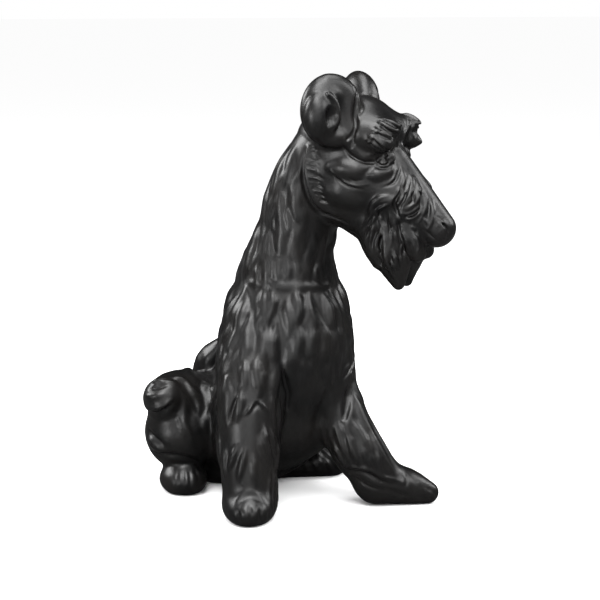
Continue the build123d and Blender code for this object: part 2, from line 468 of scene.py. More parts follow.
def comb(skin, root, heading, length, rng, wave, steps=6):
    """The points of a lock that runs over the surface from root along heading, waving."""
    p = skin.settle([root])[0]
    h = unit(heading)
    out = [p]
    phase = rng.uniform(0, FULL_TURN)
    for i in range(steps):
        n = skin.slope(p[None])[0]
        g = h + np.cross(n, h)*wave*np.cos(phase + i*WAVE_STEP)
        g = unit(g - n*(g@n))
        p = skin.settle((p + g*length/steps)[None], rounds=3)[0]
        out.append(p)
    return np.array(out)


# how far a lock stands out, as a share of the height written: on the face, on the beard below
# BEARD_TOP and on the right foreleg
FACE_RELIEF, BEARD_RELIEF, LEG_RELIEF = 0.72, 1.1, 1.5
BEARD_TOP = -62
MUZZLE_WIDTH = 0.95  # the same for the width of a lock of the muzzle

# width, height and points of the long S-curls down from the eye, the leaf and the crescents
# behind the nose, and the beard
MUZZLE_LOCKS = (
    (3.2, 1.6, (44, -13, -20), (46, -15, -28), (43, -19, -36), (39, -21, -44)),
    (3.4, 1.6, (47, -10, -22), (50, -13, -30), (47, -17, -38), (42, -20, -45), (40, -20, -53)),
    (3.8, 1.8, (51, -8, -27), (54, -11, -35), (53, -14, -42), (48, -17, -47)),
    (3, 1.4, (48, -13, -30), (50, -15, -36), (47, -18, -42), (45, -18, -48)),
    (4.2, 1.8, (37, -22, -39), (31, -23, -41), (26, -23, -46), (25, -23, -52), (29, -22, -57)),
    (3.2, 1.6, (39, -21, -44), (33, -22.5, -46), (29, -23, -50), (31, -22, -56), (35, -20, -62)),
    (2.8, 1.5, (28, -23, -50), (24, -23, -54), (20, -22, -58), (17, -20, -62)),
    (2.6, 1.4, (28, -22.5, -54), (24, -22.5, -58), (21, -21, -63), (19, -19, -68)),
    (2.6, 1.4, (29, -22, -57), (26, -21.5, -62), (24, -20, -68), (23, -18, -75)),
    (3, 1.6, (31, -22, -58), (30, -21, -65), (28, -19, -72), (27, -17, -80)),
    (3.6, 1.6, (33, -21, -50), (36, -20, -57), (38, -18, -65), (37, -18, -72)),
    (3.2, 1.5, (38, -20, -52), (41, -18, -59), (41, -17, -66), (43, -16, -72)),
    (2.6, 1.4, (44, -18, -50), (48, -16, -49.5), (53, -14, -47), (56, -12, -43)),
    (2.6, 1.4, (44, -18, -53), (49, -16, -54), (54, -14, -51), (57, -12, -46)),
    (4, 1.6, (57, -9, -34), (59, -11, -41), (58, -13, -49), (54, -14, -57)),
    (3.6, 1.4, (62, -7, -41), (63, -10, -48), (62, -11, -56), (59, -11, -63)),
    (3.6, 1.4, (42, -17, -60), (46, -16, -64), (48, -15, -70), (47, -14, -77)),
    (3, 1.3, (50, -15, -62), (53, -14, -67), (54, -13, -73), (52, -12, -79)),
    (5, 1.8, (34, -19, -72), (35, -18, -80), (37, -16, -88), (39, -13, -95)),
    (4, 1.6, (39, -18, -74), (41, -17, -82), (41, -15, -89)),
    (3, 1.4, (28, -18, -70), (30, -18, -78), (33, -16, -86)))
# width, depth and points of the lines between them
MUZZLE_LINES = (
    (2.6, 2.2, (43.5, -18.5, -37), (41, -20.5, -43), (41.5, -20, -49), (44, -18, -54)),
    (1.8, 1.2, (46.5, -15.5, -33), (46.5, -17.5, -40), (43.5, -19, -46)),
    (2.2, 1.3, (50, -15, -37), (51, -15.5, -42), (47, -17.5, -46)),
    (2.4, 1.8, (47, -17, -51.5), (51, -15, -51), (55, -13, -47.5)),
    (1.8, 1.2, (36, -22, -43), (30, -23, -46), (27.5, -23, -50)),
    (1.6, 1.1, (27, -23, -52), (22.5, -22.5, -57), (19, -21, -62)),
    (1.6, 1.1, (27.5, -22, -56), (24, -21.5, -61), (21.5, -20, -67)),
    (1.8, 1.3, (29.5, -22, -59), (27, -20.5, -66), (25.5, -18.5, -74)),
    (1.8, 1.2, (35, -21, -52), (37, -19.5, -59), (39.5, -18, -66)),
    (1.8, 1.2, (41.5, -19, -54), (42.5, -17.5, -60), (44, -16.5, -66)),
    (2.2, 1.5, (44, -16, -66), (45, -15, -73), (44.5, -14, -80)),
    (1.8, 1.2, (54, -13, -33), (56.5, -13, -41), (55, -14, -49)),
    (1.8, 1, (60, -9, -40), (61, -11, -47), (59.5, -12, -55)),
    (1.8, 1, (49, -14, -67), (50.5, -13.5, -72), (50, -13, -78)),
    (1.6, 1, (37, -18, -75), (38, -17, -82), (39.5, -14.5, -90)))
# root and run of the fine strands between the curls
STRANDS = (
    (47, -13, -24, -3, -5, -16), (49, -14, -30, -5, -5, -17), (52, -12, -30, -1, -4, -18),
    (45, -17, -28, -5, -4, -18), (34, -23, -46, -6, 0, -14), (30, -23, -48, -7, 1, -14),
    (26, -23, -56, -6, 2, -12), (38, -20, -56, 0, 2, -16), (41, -18, -62, 2, 2, -14),
    (33, -19, -76, 3, 3, -14), (36, -18, -78, 3, 3, -14), (30, -18, -72, 2, 3, -12),
    (52, -14, -58, 1, 2, -14), (55, -13, -50, 4, 2, -10), (48, -15, -56, 5, 1, -5),
    (36, -21, -48, 2, 2, -12), (42, -16, -74, 1, 2, -12), (27, -20, -62, -2, 3, -14),
    (46, -14, -70, 2, 1, -10))
# width, height and points of the locks of the right foreleg,
RIGHT_LEG_LOCKS = (
    (5, 1.7, (-44, -27, 64), (-43, -29, 52), (-38, -28, 36)),
    (4.5, 1.3, (-40, -25, 62), (-37, -26, 50), (-35, -26, 38)),
    (4, 1.1, (-48, -27, 58), (-46, -29, 48), (-43, -30, 38)),
    (5, 1.5, (-60, -20, 52), (-63, -19, 42), (-66, -17, 33)),
    (5, 1.3, (-56, -24, 50), (-59, -24, 38), (-62, -24, 26)),
    (5, 1, (-52, -27, 46), (-53, -29, 36), (-53, -31, 26)),
    (5, 1.5, (-64, -12, 50), (-66, -13, 38), (-67, -14, 26)),
    (5, 1.4, (-66, -4, 60), (-66, -5, 46), (-66, -7, 32)),
    (6, 1.4, (-60, 4, 56), (-61, 2, 42), (-61, 0, 28)),
    (6, 1.4, (-50, 9, 60), (-52, 6, 44), (-53, 3, 28)),
    (6, 1.4, (-40, 8, 58), (-42, 5, 44), (-44, 2, 30)),
    (6, 1.4, (-30, 0, 58), (-32, -3, 44), (-34, -6, 30)),
    (5, 1.4, (-29, -12, 56), (-31, -14, 44), (-33, -18, 30)),
    (4.5, 1.4, (-33, -22, 52), (-34, -24, 40), (-36, -28, 26)),
    (3.6, 1.2, (-37, -27, 36), (-38, -31, 24), (-40, -35, 12)),
    (3, 1, (-41, -29, 34), (-43, -34, 22), (-45, -38, 11)),
    (4, 1.3, (-36, -20, 30), (-36, -25, 18), (-37, -28, 8)))
# of the soft folds below the shoulder,
SHOULDER_FOLDS = (
    (7, 1.6, (-50, -12, 104), (-53, -16, 95), (-54, -18, 86)),
    (6.5, 1.6, (-40, -18, 100), (-42, -21, 92), (-43, -22, 84)),
    (6, 1.4, (-31, -21, 98), (-33, -23, 88), (-34, -24, 76)),
    (5, 1.5, (-36, -24, 84), (-35, -25, 74), (-34, -25, 64)),
    (5, 1.5, (-30, -20, 76), (-29, -21, 64), (-30, -22, 52)))
# and of the locks of the left foreleg
LEFT_LEG_LOCKS = (
    (7, 1.6, (4, -25, 74), (6, -25, 66), (9, -26, 58)),
    (5, 1.2, (9, -27, 80), (9, -27, 70), (10, -27, 62)),
    (4.5, 1.3, (10, -28, 57), (11, -31, 48), (14, -34, 38)),
    (3.2, 1.3, (15, -32, 60), (15, -34, 54), (16, -36, 48)),
    (5.2, 1.7, (16, -36, 52), (17, -38, 42), (22, -41, 30)),
    (7, 1.4, (19, -36, 60), (24, -39, 50), (28, -42, 38)),
    (4, 1.4, (22, -40, 44), (25, -42, 36), (27, -43, 28)),
    (4.2, 1.5, (27, -41, 40), (30, -44, 30), (35, -45, 21)),
    (3, 1.1, (33, -40, 38), (34, -43, 30), (36, -45, 22)),
    (6, 1.2, (32, -36, 52), (36, -40, 38), (42, -44, 26)),
    (6, 1.2, (34, -26, 60), (38, -33, 44), (46, -40, 28)),
    (5, 1, (26, -28, 74), (30, -32, 62), (32, -36, 50)),
    (7, 1.4, (36, -14, 64), (40, -20, 48), (44, -26, 34)),
    (7, 1.4, (20, 4, 62), (24, -4, 48), (28, -12, 34)),
    (6, 1.4, (8, -14, 62), (12, -18, 50), (18, -22, 38)),
    (4.5, 1.5, (12, -26, 44), (14, -29, 36), (18, -32, 28)))


def between(a, b, t):
    """The place a share t of the way from a to b."""
    return np.array(a)*(1 - t) + np.array(b)*t


def head_tools(c, skin, s):
    """The tools for one side of the head: points are written for the right side and mirrored
    for the left, where s is 1."""
    return tools(c, skin, lambda f, l, u: hp(f, -s*l, u))


def head_forms(c, skin, s):
    """The large masses of hair and the folds of the face."""
    ridge, groove = head_tools(c, skin, s)
    # cheek ruff: the hair of the jaw stands proud of the neck
    ridge([(-17, -27, -10), (-17, -30, -24), (-14, -29, -38), (-9, -24, -48), (-2, -21, -53)], 12,
          2.6, 0.4, 0.2, 2)
    groove([(-19, -24, -10), (-20, -27, -25), (-17, -27, -39), (-12, -22, -50), (-3, -19, -56.5),
            (7, -18, -60)], 4, 2.2, 0.4, 0.4, 1)
    # skull cap's lower fold
    groove([(8, -28, -8), (13, -27, -13), (20, -25, -17), (28, -23, -17.5), (34, -21, -15)], 3, 2,
           0.3, 0.6, 1)
    ridge([(10, -29, -4), (15, -28, -10), (22, -26, -14), (29, -24, -14)], 6, 1.3, 0.3, 0.3, 1.4)
    # edge between the ear and the cap
    groove([(11, -21, 25), (15, -24, 18), (16.5, -27, 10), (16, -29, 2), (12, -30, -4)], 3.2, 2.2,
           0.3, 0.4, 1)
    # cheek: a lens of smooth skin, and the cheekbone
    ridge([(0, -29, -22), (8, -29, -22), (16, -27, -23), (22, -26, -22)], 11, 2.2, 0.5, 0.2, 2)
    ridge([(25, -25, -26), (31, -23, -25), (37, -20, -22), (41, -16, -18)], 9, 2.6, 0.3, 0.4, 1.6)
    ridge([(-2, -26, -38), (8, -25, -42), (18, -23, -44)], 12, 1.6, 0.4, 0.3, 2)
    # masses of hair on the muzzle and the beard
    ridge([(40, -21, -42), (32, -23, -44), (26, -23, -50), (24, -20, -60)], 9, 2.2, 0.4, 0.3, 2)
    ridge([(50, -10, -28), (53, -14, -38), (48, -17, -46), (43, -19, -54)], 9, 2, 0.3, 0.3, 2)
    ridge([(33, -20, -60), (35, -18, -72), (38, -16, -84)], 9, 2, 0.4, 0.4, 2)
    groove([(31.5, -21, -60), (31, -20.5, -67), (30, -18.5, -74), (30.5, -16, -84)], 3.2, 2.4, 0.3,
           0.6, 0.8)


def head_strokes(c, skin, s):
    """The tooled hair of the face, laid over the large masses."""
    ridge, groove = head_tools(c, skin, s)
    groove([(-12, -18, -57), (-5, -12, -63), (3, -10, -66), (13, -15, -69), (20, -17, -74)], 2.6,
           1.3, 0.3, 0.4, 0.8)
    # short tooled marks inside its edge
    vary = np.random.default_rng(17).uniform
    for k in range(13):
        a = (k + vary(-0.3, 0.3))/12
        f0 = -18 + 9.5*a*a
        u0 = -10 - 34*a
        l0 = -30 + 5*a*a
        far = vary(7, 11) - 2*a
        drop = vary(0.5, 3) + 2*a
        p = [(f0, l0, u0), (f0 + far*0.5, l0 - 1, u0 - drop*0.3), (f0 + far, l0 - 0.5, u0 - drop)]
        groove(p, vary(1.9, 2.4), vary(1.1, 1.6), 0.35, 0.1, 0.6)
    groove([(15, -27, 3), (15, -28, -4), (14, -28, -9)], 3, 1, 0.2, 0.3, 1)
    # cheek: a lens of smooth skin with a folded lower rim, and the cheekbone
    ridge([(0, -29, -23), (4, -28.5, -28), (10, -27.5, -31), (17, -26, -33), (24, -25, -32)], 2.4,
          1.2, 0.4, 0.2, 0.6)
    groove([(1, -29, -25.5), (6, -28, -30), (12, -27, -33.5), (20, -25, -35)], 2.6, 1.2, 0.2, 0.2,
           0.8)
    groove([(12, -27, -27), (16, -26, -29.5), (22, -25, -29)], 2, 0.8, 0.2, 0.2, 0.6)
    groove([(44, -13, -18), (43.5, -17, -24), (39, -20, -31), (32, -23, -34)], 2.2, 1.3, 0.4, 0.1,
           0.7)
    ridge([(42.5, -16, -20), (41.5, -19, -26), (37, -21, -31)], 1.8, 0.9, 0.3, 0.1, 0.5)
    # eye: lids round the dark slit
    ridge([(28, -24, -16), (33, -22.5, -18.5), (38, -19.5, -18.5), (42, -16, -16.5)], 2.6, 1.4, 0.3,
          0.4, 0.6)
    groove([(29, -24, -19), (34, -22, -20.5), (39, -19, -20)], 1.6, 0.9, 0.2, 0.2, 0.5)
    # brow: hair lines that fan out to a torn edge
    depth = 0.7 if s < 0 else 1
    for k in range(8):
        t = (max(k + vary(-0.15, 0.15), 0)/7)**1.15
        if s < 0 and t < 0.2:
            continue
        p = between((31, -17.5, 11), (23.5, -26.3, -3.5), t) + vary(-1, 1, 3)*(1.5, 0.2, 0.2)
        q = between((45.5, -17, 8.5), (32, -24, -9), t) + vary(-1, 1, 3)*(1, 0.2, 0.2)
        m = (p + q)/2 + (0, -1, 0.6 + vary(-0.2, 0.2))
        ridge([p, m, q], vary(2.5, 3.1), vary(1.4, 1.8)*depth, 0.15, 0.8, 0.4)
        d = np.array((0.2, -0.4, -1.15))
        groove([p + d + (3, 0, 0), m + d, q + d], vary(1.7, 2.1),
               vary(1.2, 1.6)*depth, 0.1, 0.9, 0.5)
    # the rough inner side of the brow and the stop between the eyes
    for p in (
        ((41, -14, 4), (43, -12, 0), (42, -13, -5)),
        ((38, -13, 7), (41, -10, 2), (42, -8, -4)),
        ((43, -17, 3), (42, -17, -1), (41, -17, -6)),
        ((40, -8, 2), (42, -6, -3), (44, -5, -9))):
        ridge(p, 3, 1.4, 0.3, 0.3, 0.6)
    for w, h, *p in MUZZLE_LOCKS:
        relief = FACE_RELIEF if p[0][2] > BEARD_TOP else BEARD_RELIEF
        ridge(p, w*MUZZLE_WIDTH, h*relief, 0.2, 0.1, 0.7)
    for w, h, *p in MUZZLE_LINES:
        groove(p, w, h, 0.3, 0.2, 0.5)
    for f, l, u, df, dl, du in STRANDS:
        bend = vary(-1.5, 1.5)
        groove([(f, l, u), (f + df*0.5 + bend, l + dl*0.5, u + du*0.5), (f + df, l + dl, u + du)],
               vary(1.1, 1.5), vary(0.6, 0.9), 0.2, 0.2, 0.4)
        ridge([(f + 1.5, l, u - 2), (f + 1.5 + df*0.5 + bend, l + dl*0.5, u + du*0.5 - 1),
               (f + 1.5 + df*0.9, l + dl, u + du*0.9)], vary(1.4, 2), vary(0.5, 0.8),
              0.2, 0.2, 0.4)
    # nostril wing
    ridge([(64, -8, -54), (69, -8.5, -59), (69, -7.5, -65)], 6, 1.3, 0.5, 0.5, 1.2)
    groove([(66, -9, -55), (71.5, -8, -60), (71, -6, -64.5)], 2.2, 1.3, 0.3, 0.4, 0.6)
    groove([(58, -11, -60), (62, -10, -64), (66, -8, -67)], 2, 1, 0.3, 0.3, 0.6)


def around(skin, centre, reach, angle):
    """The place on the skin an angle round a centre line: 0 is the front, 90 the dog's left."""
    a = np.radians(angle)
    d = vec(np.sin(a), -np.cos(a), 0)
    return skin.settle([centre + d*reach], rounds=10)[0]


def on_neck(p):
    """Whether a place is on the neck and not on the cheek."""
    f, u = (p - HEAD)@F, (p - HEAD)@U
    return f < -19 or u < -62


def rows_of_locks(c, skin, rng):
    """A function that lays one row of locks on the clay c."""
    ridge = tools(c, skin)[0]

    def row(centre, reach, z, angles, length, width, height, heading=(0, 0, -1), wave=0.25, blend=1,
            keep=None, loose=3):
        """Locks that start at height z, at the given angles round a centre line."""
        for a in angles:
            a = a + rng.uniform(-loose, loose)
            p = around(skin, (*centre, z + rng.uniform(-loose, loose)), reach, a)
            if keep and not keep(p):
                continue
            side = vec(np.cos(np.radians(a)), np.sin(np.radians(a)), 0)
            h = vec(*heading) + side*rng.uniform(-0.1, 0.1)
            p = comb(skin, p, h, length*rng.uniform(0.85, 1.15), rng, wave)
            ridge(p, width*rng.uniform(0.85, 1.1), height*rng.uniform(0.8, 1.2), 0.25, 0.08,
                  blend, 2)

    return row


def neck_coat(c, skin):
    """Long soft locks down the neck, one row laid over the next."""
    row = rows_of_locks(c, skin, np.random.default_rng(3))
    rows = [(232, 12, -5, 24), (208, 5, 2, 25), (186, 2, 6, 26), (168, -1, 10, 28)]
    for i, (z, cx, cy, reach) in enumerate(rows):
        angles = np.arange(-170 + i*11, 190 + i*11, 22)
        row((cx, cy), reach, z + 8, angles, 38 if i < 3 else 24, 9, 2, wave=0.2, keep=on_neck)
        row((cx, cy), reach, z - 3, angles + 11, 28 if i < 3 else 16, 5.5, 1.4, wave=0.3,
            keep=on_neck)


def ruff(c, skin):
    """The coat of the chest, the flanks and the back."""
    rng = np.random.default_rng(5)
    ridge, row = tools(c, skin)[0], rows_of_locks(c, skin, rng)
    # small ledge where the chest hair begins
    angles = (-80, -62, -45, -28, -12, 4, 20)
    ridge([around(skin, (-1, 13, 150.5 - a*0.02), 36, a) for a in angles], 5, 0.8, 0.1, 0.1, 2.2)
    # two rows of broad locks down the chest
    for z, turn in ((149, 0), (128, 7)):
        angles = np.arange(-84 + turn, 84, 13)
        row((-1, 16), 44, z, angles, 29, 9, 2.4, wave=0.2, blend=1.8, loose=4)
        row((-1, 16), 44, z - 9, angles + 6, 23, 4.2, 1.1, wave=0.35, blend=1.2, loose=5)
    # the smoother hair below them, down to the elbows
    for z, turn in ((108, 0), (90, 9), (74, 3)):
        first = -73 if z > 100 else -34
        row((0, 14), 44, z, np.arange(first + turn, 44, 13), 28, 8, 2 if z > 100 else 1.4, wave=0.2,
            blend=1.6, loose=4)
        row((2, 16), 48, z + 4, np.arange(46 + turn, 92, 12), 28, 8, 1.9, heading=(0.1, -0.1, -1),
            wave=0.25, blend=1.6, loose=4)
    # back and flanks
    for i, z in enumerate((150, 130, 110, 92, 76)):
        row((0, 16 + max(0, (120 - z)*0.55)), 48 + max(0, (110 - z)*0.3), z,
            np.arange(85 + i*6, 275, 14), 30, 8.5, 1.8, heading=(0, 0.35, -1), wave=0.3)
    # fine side hair over the right elbow
    for a in (-76, -82, -88, -94, -100, -106):
        p = around(skin, (0, 20, 126), 46, a)
        ridge(comb(skin, p, (-0.1, -0.1, -1), 42, rng, 0.3, 8), 3.6, 1.7, 0.2, 0.1, 0.7, 2)


def foreleg_coat(c, skin):
    """The hair of both forelegs, and their toes."""
    rng = np.random.default_rng(8)
    ridge, groove = tools(c, skin)
    # cleft between the two forelegs, from the chest down
    groove([(-27, -21, 101), (-25, -22, 90), (-22, -21, 81), (-21, -18, 70)], 3.4, 2, 0.2, 0.8, 0.8)
    ridge([(-22, -23, 99), (-19, -24, 88), (-17, -22, 78)], 6, 1.2, 0.2, 0.4, 1.2)
    # outer side of the left foreleg
    for x, y, z in (
        (30, -2, 98), (34, 4, 88), (35, -8, 84), (36, 2, 74), (37, -8, 66), (38, 4, 58),
        (41, -14, 54), (44, -8, 46), (47, -22, 42), (40, -2, 38), (54, -26, 28), (60, -34, 24),
        (50, -14, 26)):
        ridge(comb(skin, (x, y, z), (0.35, -0.35, -1), 28, rng, 0.25), 7, 1.6, 0.15, 0.1, 1.4, 2)
    # edge of the left shoulder
    ridge([(31, -15, 101), (25, -22, 95), (17, -26, 91)], 5, 1.6, 0.3, 0.2, 0.8)
    groove([(32, -14, 97), (26, -22, 92), (18, -26, 88)], 3, 1, 0.3, 0.2, 0.8)
    # right foreleg: the pointed hair edge, side locks, and the fringe over the paw
    for p in (
        [(-54, -20, 71), (-50, -21, 75), (-47, -22, 80)],
        [(-47, -22, 80), (-44, -23, 77), (-40, -23, 72)]):
        ridge(p, 2.6, 1.6, 0.5, 0.5, 0.5)
    groove([(-52, -23, 72), (-48, -24, 77), (-47, -24, 77.5), (-43, -25, 73)], 3.4, 1.2, 0.3, 0.3,
           0.7)
    ridge([(-47, -21, 88), (-47, -22, 80)], 2, 0.9, 0.2, 0.6, 0.5)
    for w, h, *p in RIGHT_LEG_LOCKS:
        ridge(p, w, h*LEG_RELIEF, 0.25, 0.08, 0.8)
    arc = [(-68, -28, 12), (-64, -27, 18), (-58, -29, 23), (-53, -32, 21), (-47, -37, 12)]
    ridge(arc, 2.2, 0.6, 0.2, 0.2, 0.8)
    groove([(-67, -31, 10), (-62, -30, 16), (-57, -32, 20), (-53, -35, 17), (-48, -39, 10)], 3, 0.5,
           0.3, 0.3, 0.8)
    for pts in (
        [(-60, -35, 16), (-61, -39, 10), (-61, -40, 4)],
        [(-66, -32, 13), (-68, -34, 8), (-67, -33, 3)],
        [(-54, -36, 14), (-55, -40, 9), (-53, -40, 3)]):
        groove(pts, 2.6, 1.5, 0.3, 0.6, 0.8)
    for a in range(4):
        x = -50 + a*3
        groove([(x, -36 + a*2.2, 14), (x + 2, -39 + a*3, 8), (x + 4, -38 + a*3.5, 3)], 1.6, 0.8,
               0.3, 0.4, 0.5)
    # drape of side hair ending in a tip on the elbow
    ridge([(-60, -4, 92), (-63, -8, 78), (-64, -11, 64)], 12, 2.6, 0.5, 0.2, 1)
    ridge([(-56, -16, 88), (-58, -18, 76), (-60, -18, 66)], 8, 2.2, 0.4, 0.2, 1)
    groove([(-56, -15, 86), (-60, -14, 74), (-63, -14, 64)], 2.6, 1.5, 0.3, 0.2, 0.6)
    # soft folds below the shoulder
    for w, h, *p in SHOULDER_FOLDS:
        ridge(p, w, h, 0.3, 0.1, 1.2)
    # left foreleg
    for p in (
        [(23, -24, 88), (20, -26, 80), (16, -27, 72), (10, -28, 60)],
        [(23, -25, 88), (23, -28, 78), (21, -31, 68), (17, -33, 58)]):
        ridge(p, 2.4, 1.5, 0.2, 0.3, 0.5)
    groove([(22, -27, 82), (19, -29, 72), (15, -31, 61)], 5.5, 1.4, 0.2, 0.5, 0.8)
    for w, h, *p in LEFT_LEG_LOCKS:
        a, b, d = np.array(p, float)
        ridge((a - (b - a)*0.35, b, d + (d - b)*0.35), w, h, 0.12, 0.08, 1.2)
        ridge((a + (1, 1, -4), b + (1.5, 1, -2), d + (1, 1, -3)), w*0.45, h*0.45, 0.1, 0.1, 0.8)
    # hem of the hair over the left paw
    hem = np.array([(16, -30, 28), (20, -38, 28), (27, -43, 26), (35, -45, 21), (43, -47, 18),
                    (51, -50, 15)])
    ridge(hem + (0, 0, 1.5), 3.6, 1.5, 0.3, 0.3, 0.6)
    groove(hem - (0, 0, 1), 3, 1.4, 0.3, 0.3, 0.7)
    groove([(51, -50, 14), (53, -48, 18), (53, -44, 22)], 1.8, 1.1, 0.5, 0.5, 0.5)
    for k in range(8):
        x = 18 + k*4.2
        groove([(x, -35 - k*1.2, 22 - k*1.3), (x + 3, -39 - k*0.9, 19 - k*1.2),
                (x + 6.5, -42 - k*0.6, 17.5 - k*0.9)], 2.3, 1.4, 0.2, 0.2, 0.5)
    for x, y in ((56, -52), (62, -55)):
        groove([(x - 3, y + 4, 16), (x, y, 11), (x + 2, y - 1, 5)], 1.8, 0.8, 0.3, 0.3, 0.6)
    for pts in (
        [(66, -44, 12), (73, -49, 9), (77, -52, 5)], [(62, -50, 13), (70, -56, 9), (74, -58, 4)]):
        groove(pts, 2.2, 1.1, 0.3, 0.6, 0.8)


def haunch_coat(c, skin, s, rng):
    """The hair and folds of one haunch, and its toes."""

    def side(x, y, z):
        """A place written for the right side, mirrored for the left."""
        return vec(-s*x, y, z)

    ridge, groove = tools(c, skin, side)
    plain_ridge = tools(c, skin)[0]
    # flank, and the back of the thigh
    for p in ((-46, 34, 92), (-48, 44, 84), (-40, 26, 80), (-44, 36, 70), (-46, 46, 64),
              (-38, 28, 58), (-40, 38, 48), (-44, 24, 100), (-40, 50, 96)):
        plain_ridge(comb(skin, side(*p), (0, 0.3, -1), 24, rng, 0.3), 8, 1.8, 0.3, 0.1, 1.6, 2)
    for i in range(9):
        a = 100 + i*11
        for z in (76 - i%2*6, 56 - i%2*5, 38):
            p = around(skin, (-s*50, 74, z), 24, s*a)
            plain_ridge(comb(skin, p, (0, 0.1, -1), 20, rng, 0.3), 7.5, 1.4, 0.3, 0.1, 1.6, 2)
    groove([(-78, 66, 73), (-74, 60, 76), (-68, 58, 77)], 3, 2, 0.3, 0.3, 0.6)
    groove([(-72, 72, 80), (-69, 64, 81), (-65, 60, 79)], 2.6, 1.6, 0.3, 0.3, 0.6)
    ridge([(-76, 70, 77), (-72, 63, 79), (-67, 59, 79)], 3.6, 2.2, 0.4, 0.3, 0.6)
    for p in (
        [(-78, 70, 68), (-76, 62, 69), (-72, 57, 71)],
        [(-77, 66, 62), (-73, 58, 64), (-68, 54, 68)],
        [(-70, 60, 84), (-64, 57, 82), (-60, 56, 78)],
        [(-62, 62, 88), (-56, 60, 86), (-51, 58, 80)],
        [(-60, 55, 70), (-55, 52, 64), (-50, 51, 54)],
        [(-66, 52, 58), (-61, 49, 50), (-56, 49, 40)]):
        ridge(p, 5, 1.4, 0.3, 0.2, 1.2)
    groove([(-77, 78, 57), (-77, 66, 56), (-74, 56, 60), (-68, 53, 66)], 5, 2.4, 0.4, 0.2, 1.2)
    groove([(-79, 74, 45), (-78, 64, 40), (-74, 56, 36)], 3.4, 1.8, 0.4, 0.2, 0.9)
    ridge([(-79, 74, 38), (-78, 64, 33), (-72, 56, 29)], 8, 2.2, 0.4, 0.2, 1.2)
    groove([(-76, 76, 28), (-74, 60, 27), (-66, 50, 27), (-52, 50, 23), (-45, 50, 14)], 4, 1.6, 0.5,
           0.3, 1)
    for k in range(4):
        a = k - 1.5
        groove([(-60 + a*4.5, 50 - a, 21), (-62 + a*5.5, 45 + abs(a)*1.5, 14),
                (-63 + a*6, 44 + abs(a)*1.5, 5)], 2, 1.1, 0.2, 0.5, 0.7)
    ridge([(-40, 62, 76), (-44, 52, 68), (-44, 44, 56)], 3, 1.2, 0.3, 0.3, 0.6)
    for a in range(5):
        groove([(-44 - a*5, 86 + a, 60 - a*3), (-50 - a*5, 92 - a*2, 46 - a*3),
                (-52 - a*5, 92 - a*3, 30)], 3, 1, 0.2, 0.2, 0.9)


def hind_coat(c, skin):
    """The coat of the haunches, the tail and the belly."""
    rng = np.random.default_rng(13)
    for s in (-1, 1):
        haunch_coat(c, skin, s, rng)
    ridge, groove = tools(c, skin)
    for k in range(5):
        groove([(-26 + k*5, 98, 60), (-28 + k*5, 104, 76), (-24 + k*4, 100, 90)], 2.6, 0.9, 0.2,
               0.2, 0.7)
    # belly hair down to the table between the legs
    for k in range(9):
        x = -4 + k*6
        ridge([(x, 40 - k*2, 34), (x + 2, 36 - k*2, 20), (x + 3, 38 - k*2, 4)], 4.5, 2, 0.2, 0.3,
              0.8)
    for x, y, z in (
        (24, 48, 24), (30, 46, 25), (36, 43, 26), (42, 41, 25), (48, 40, 24), (20, 50, 16),
        (28, 46, 15), (35, 42, 14), (43, 38, 15), (50, 38, 14)):
        ridge([(x, y, z), (x + 3, y - 4, z - 6), (x + 7, y - 5, z - 12)], 3.2, 1.4, 0.2, 0.2, 0.7)


def full_skin():
    """The bare figure, and the same with the masses of the head: what the hair lies on."""
    plain = base(1.5)
    formed = base(1.5)
    for s in (1, -1):
        head_forms(formed, plain, s)
    return plain, formed


def coat(c, skins):
    """All the hair, on the clay c."""
    plain, formed = skins
    for s in (1, -1):
        head_forms(c, plain, s)
    for s in (1, -1):
        head_strokes(c, formed, s)
    for part in (neck_coat, ruff, foreleg_coat, hind_coat):
        part(c, formed)
    c.keep_above(0)


# ---------------- pieces
SINK = 0.06  # how fast a piece drops under its neighbour past their joint
OVERLAP = 2.2  # grid steps by which neighbours run under each other
GLAZED = 4  # mm either side of the clay's surface that the glaze softens
OWNER_STEP = 2.5  # grid step of the fields that say which piece owns a place
BODY_TOP = 272  # the body's grid ends above the neck
ROUGHNESS, HAZE = 0.36, 0.16  # the middle and the spread of the sheen
GLOSS = 0.4
GLAZE_COLOURS = (0.0014, 0.0014, 0.0015), (0.0042, 0.0037, 0.0034)
BODY_STEP, HEAD_STEP = ((0.95, 0.6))
HEAD_PIECES = ("head", "beard", "right_brow", "left_brow", "right_ear", "left_ear")
MIDDLE = np.array([0.0, 15.4, -CAD_BOX[0].z*1000])  # the frame's origin, in the clay's mm


class Solid(Clay):
    """Clay that ignores cuts: it only says which piece owns a place."""

    def cut(self, shape, blend):
        return


def owners(step):
    """Each piece alone, by name."""
    fields = {}
    for name, make in MAKERS.items():
        c = Solid(LOW, HIGH, step)
        make(c)
        fields[name] = c
    return fields


def share(fields, name):
    """Negative inside the piece's own share of the casting, zero on its joints."""
    own = fields[name]
    others = np.min([c.d for n, c in fields.items() if n != name], axis=0)
    out = Clay(own.low, own.low, own.step)
    out.axes, out.d = own.axes, (own.d - others)/2
    return out


def resample(coarse, fine):
    """The coarse field read at every point of the fine grid, one axis at a time."""
    d = coarse.d
    for ax in range(3):
        q = (fine.axes[ax] - coarse.low[ax])/coarse.step
        q = np.clip(q, 0, d.shape[ax] - LAST_CELL)
        i = q.astype(int)
        f = (q - i).astype(np.float32)
        f = f.reshape([-1 if a == ax else 1 for a in range(3)])
        d = np.take(d, i, axis=ax)*(1 - f) + np.take(d, i + 1, axis=ax)*f
    return d


def crop(mask, margin=3):
    """The slices of the grid that hold every place in the mask."""
    where = [np.flatnonzero(mask.any(axis=tuple(a for a in range(3) if a != ax)))
             for ax in range(3)]
    return tuple(slice(max(w[0] - margin, 0), w[-1] + margin + 1) for w in where)


